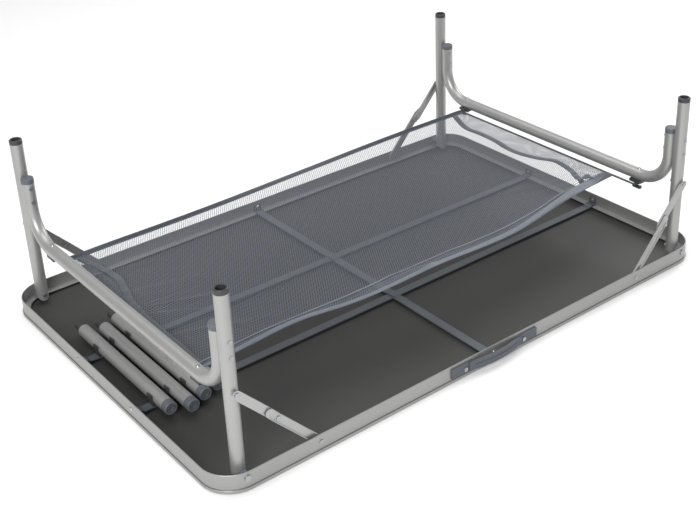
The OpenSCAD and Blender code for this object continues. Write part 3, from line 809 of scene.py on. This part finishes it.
def cord_along(name, route, radius, skin):
    """A closed round cord along the points of a route."""
    steps = [0.0]
    for a, b in zip(route, route[1:]):
        steps.append(steps[-1] + (b - a).length)

    def place(s, t):
        i = round(s * (len(route) - 1))
        ahead = (route[min(i + 1, len(route) - 1)] - route[max(i - 1, 0)]).normalized()
        side = ahead.cross(Vector((0, 0, 1))).normalized()
        up = side.cross(ahead)
        angle = 2 * math.pi * t
        return route[i] + (side * math.cos(angle) + up * math.sin(angle)) * radius

    piece = cloth_grid(name, len(route) - 1, CORD_SIDES, place,
                       (steps[-1], 2 * math.pi * radius), skin)
    bpy.context.view_layer.objects.active = piece
    piece.select_set(True)
    bpy.ops.object.mode_set(mode="EDIT")
    bpy.ops.mesh.select_all(action="SELECT")
    bpy.ops.mesh.remove_doubles(threshold=WELD)
    bpy.ops.mesh.select_all(action="DESELECT")
    bpy.ops.mesh.select_non_manifold()
    bpy.ops.mesh.fill_holes(sides=0)
    bpy.ops.mesh.select_all(action="SELECT")
    bpy.ops.mesh.normals_make_consistent(inside=False)
    bpy.ops.object.mode_set(mode="OBJECT")
    piece.select_set(False)
    return piece


print("a cord has", CORD_SIDES, "sides")


# %% The route of a cord, read from its CAD node
CORD_TAIL = 0.008
TAIL_STEP, TAIL_POINTS = 0.002, 4
TURN_POINTS, RUN_POINTS = 10, 60
# pulled tight, the elastic is a little thinner than its node
CORD_THINNING = 0.95


def cord_route(side):
    """From one hook's turn to the other, along the end of the net."""
    low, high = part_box(f"net_cord_{SIDE_NAMES[side]}")
    middle_z = (low.z + high.z) / 2
    inner = (low.x if side > 0 else high.x) + side * CORD_R
    outer = (high.x if side > 0 else low.x) - side * CORD_R
    turn_r = abs(outer - inner) / 2
    turn_x = (inner + outer) / 2
    turn_y = high.y - CORD_R - turn_r
    arc = [i * math.pi / TURN_POINTS for i in range(TURN_POINTS + 1)]
    start = [Vector((outer, -turn_y + CORD_TAIL - TAIL_STEP * i, middle_z))
             for i in range(TAIL_POINTS)]
    near = [Vector((turn_x + side * turn_r * math.cos(a), -turn_y - turn_r * math.sin(a), middle_z))
            for a in arc]
    run = [Vector((inner, -turn_y + 2 * turn_y * i / RUN_POINTS, middle_z))
           for i in range(1, RUN_POINTS)]
    far = [Vector((turn_x - side * turn_r * math.cos(a), turn_y + turn_r * math.sin(a), middle_z))
           for a in arc]
    end = [Vector((outer, turn_y - TAIL_STEP * (i + 1), middle_z)) for i in range(TAIL_POINTS)]
    return start + near + run + far + end


cords = [cord_along(f"elastic_cord_{SIDE_NAMES[side]}", cord_route(side), CORD_R * CORD_THINNING,
                    elastic_skin) for side in (-1, 1)]
print("cords:", [c.name for c in cords])

# %% [markdown]
# ## Everything on the net moves with it
#
# When the leg frames fold, the cross tubes come down and towards the middle, and the net comes
# down slack between them. So every net piece rides on the net's body.

# %% Ride and replace
sewn_on = [far_tape, near_hem, near_tape, near_stitch, corner_patch, gather_loop, *hems, *seams]
net_pieces = [net, *sewn_on, *cords]
for piece in net_pieces:
    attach(piece, "net")
    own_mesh(piece)
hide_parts("storage_net")
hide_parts("net_cord_left")
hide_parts("net_cord_right")


# %% [markdown]
# ## Stage, light and camera
#
# A pale floor and large soft lights suit a plain product view. The key light stands in front and
# to the left, a weaker one fills from the right, and a broad one hangs overhead.

# %% The floor
FLOOR_Z = cad_low.z - 0.0005
bpy.ops.mesh.primitive_plane_add(size=30, location=(0, 0, FLOOR_Z))
floor = bpy.context.active_object
floor.name = "studio_floor"
bpy.ops.object.transform_apply(location=True, rotation=True, scale=True)
floor_skin = bpy.data.materials.new("pale_floor")
floor_skin.use_nodes = True
floor_tree = floor_skin.node_tree
floor_shader = floor_tree.nodes["Principled BSDF"]
floor_where = floor_tree.nodes.new("ShaderNodeTexCoord").outputs["Object"]
floor_tone = noise(floor_tree, floor_where, 1.5, 2.0)
floor_colour = blend_colour(floor_tree, floor_tone, (0.90, 0.90, 0.90), (0.92, 0.92, 0.92))
floor_tree.links.new(floor_colour, floor_shader.inputs["Base Color"])
floor_shader.inputs["Roughness"].default_value = 0.7
floor.data.materials.append(floor_skin)
print("floor at", round(FLOOR_Z, 4))

# %% The lights


def soft_light(name, place, target, size, power):
    """A round area light at place that shines towards target."""
    bpy.ops.object.light_add(type="AREA", location=place)
    light = bpy.context.active_object
    light.name = name
    light.data.shape = "DISK"
    light.data.size = size
    light.data.energy = power
    light.rotation_euler = (Vector(target) - Vector(place)).to_track_quat("-Z", "Y").to_euler()
    return light


soft_light("key", (-3.2, -2.4, 2.5), target=(0, 0, 0.1), size=2.2, power=150)
soft_light("fill", (3.3, 0.5, 2.1), target=(0, 0, 0.1), size=2.0, power=58)
soft_light("top", (0.0, 1.0, 4.4), target=(0, 0.2, 0.1), size=4.0, power=105)
world = bpy.data.worlds.new("studio")
world.use_nodes = True
background = world.node_tree.nodes["Background"]
background.inputs["Color"].default_value = (1.0, 1.0, 1.0, 1)
background.inputs["Strength"].default_value = 0.40
bpy.context.scene.world = world
bpy.context.scene.view_settings.view_transform = "Standard"

# %% The camera
AZIMUTH, ELEVATION, ROLL = (math.radians(a) for a in (-38.26, 26.15, -1.83))
LENS = 62.16
SENSOR = 36
SHIFT = (-0.0386, -0.1036)
# TRACK is the camera's place in its own axes, from a point FLOOR_DROP above the middle of the floor
TRACK = Vector((0.04064, -0.12194, 2.37389))
FLOOR_DROP = 0.36936
turn = Matrix.Rotation(AZIMUTH, 3, "Z") @ Matrix.Rotation(math.pi / 2 - ELEVATION, 3, "X")
turn = turn @ Matrix.Rotation(ROLL, 3, "Z")
place = turn @ TRACK
camera_data = bpy.data.cameras.new("camera")
camera = bpy.data.objects.new("camera", camera_data)
bpy.context.scene.collection.objects.link(camera)
camera.matrix_world = Matrix.Translation(place + Vector((0, 0, FLOOR_DROP))) @ turn.to_4x4()
camera_data.lens = LENS
camera_data.sensor_width = SENSOR
camera_data.shift_x, camera_data.shift_y = SHIFT
camera_data.clip_end = 100
bpy.context.scene.camera = camera
print("camera at", tuple(round(v, 3) for v in camera.matrix_world.translation))
